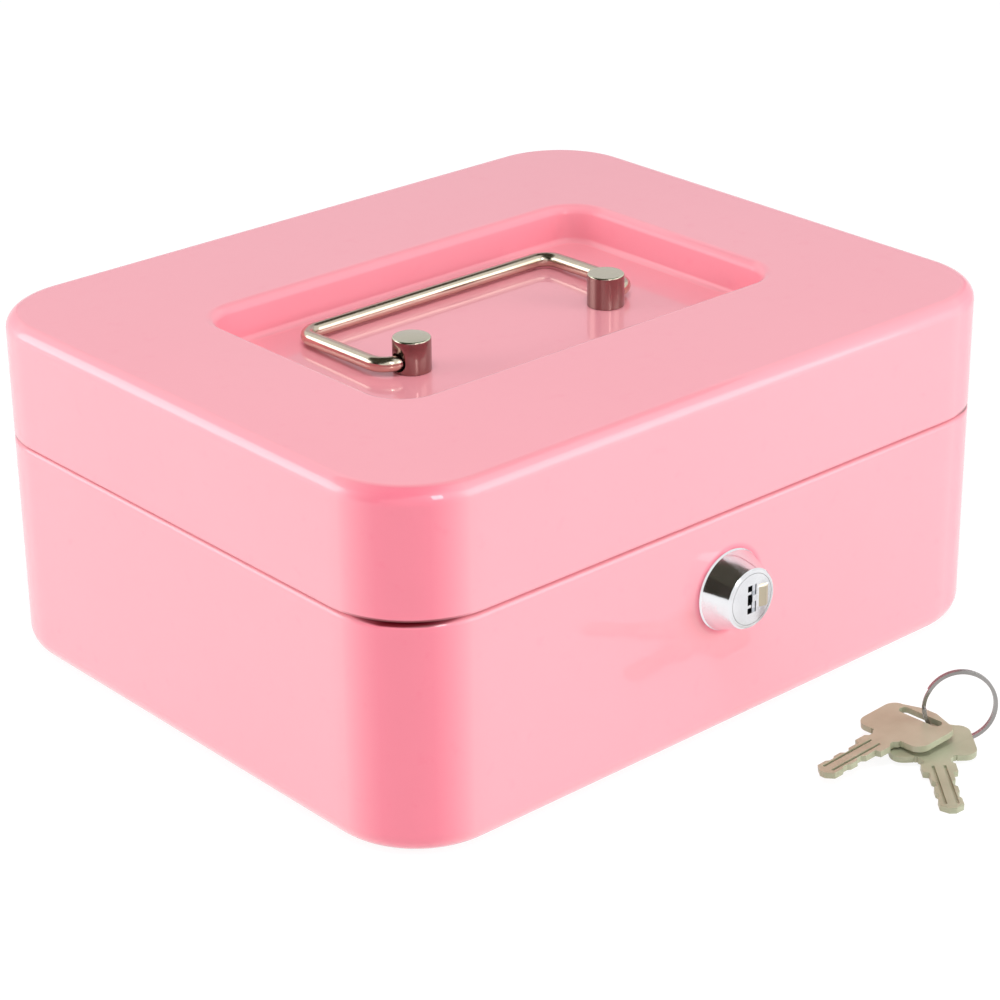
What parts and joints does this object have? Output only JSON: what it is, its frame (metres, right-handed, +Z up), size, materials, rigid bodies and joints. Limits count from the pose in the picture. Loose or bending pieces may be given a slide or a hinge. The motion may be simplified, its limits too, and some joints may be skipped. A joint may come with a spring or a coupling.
{
  "type": "cash box",
  "caption": "Rounded steel cash box with a sunk bail handle in its hinged lid, a front cam lock, a lift-out coin tray and keys on a ring.",
  "frame": {"origin": "on the ground, below the middle of the closed box's base", "axes": "+X to the right along the front, -Y out of the front with the lock, +Z up"},
  "size_m": [0.2, 0.2332, 0.09],
  "materials": {
    "pink_enamel": "smooth satin-gloss enamel, pale pink",
    "handle_nickel": "polished nickel plate, slightly warm",
    "lock_chrome": "polished chrome plate",
    "zinc_steel": "bright zinc-plated steel",
    "wafer_brass": "stamped brass",
    "key_nickel_brass": "satin nickel-plated brass",
    "ring_nickel": "nickel-plated spring wire",
    "tray_plastic": "black moulded plastic"
  },
  "bodies": {
    "base": {"base_shell": "pink_enamel", "hinge_leaf_base": "pink_enamel", "hinge_pin": "zinc_steel", "hinge_rivets_base": "zinc_steel", "lock_housing": "lock_chrome", "lock_nut": "zinc_steel", "lock_washer": "zinc_steel", "tray_ledge_left": "pink_enamel", "tray_ledge_right": "pink_enamel"},
    "lid": {"lid_shell": "pink_enamel", "hinge_leaf_lid": "pink_enamel", "hinge_rivets_lid": "zinc_steel", "handle_post_left": "handle_nickel", "handle_post_right": "handle_nickel", "handle_screws": "zinc_steel", "handle_washers": "zinc_steel", "lock_strike": "zinc_steel"},
    "bail": {"handle_bail": "handle_nickel"},
    "lock_core": {"lock_plug": "lock_chrome", "lock_wafers": "wafer_brass", "wafer_springs": "zinc_steel", "stop_washer": "zinc_steel", "lock_cam": "zinc_steel", "cam_washer": "zinc_steel", "cam_screw": "zinc_steel"},
    "tray": {"coin_tray": "tray_plastic"},
    "keys": {"key_a": "key_nickel_brass", "key_b": "key_nickel_brass", "key_ring": "ring_nickel"}
  },
  "joints": [
    {"name": "lid_hinge", "type": "hinge", "parent": "base", "child": "lid", "pos_m": [0, 0.0848, 0.0591], "axis": [-1, 0, 0], "range_deg": [0, 105]},
    {"name": "bail_swing", "type": "hinge", "parent": "lid", "child": "bail", "pos_m": [0, -0.0065, 0.0834], "axis": [1, 0, 0], "range_deg": [0, 165]},
    {"name": "lock_turn", "type": "hinge", "parent": "base", "child": "lock_core", "pos_m": [0, -0.09, 0.0385], "axis": [0, 1, 0], "range_deg": [0, 90]},
    {"name": "tray_lift", "type": "slide", "parent": "base", "child": "tray", "axis": [0, 0, 1], "range_m": [0, 0.014]},
    {"name": "keys_lift", "type": "slide", "parent": "base", "child": "keys", "axis": [0, 0, 1], "range_m": [0, 0.05]}
  ]
}
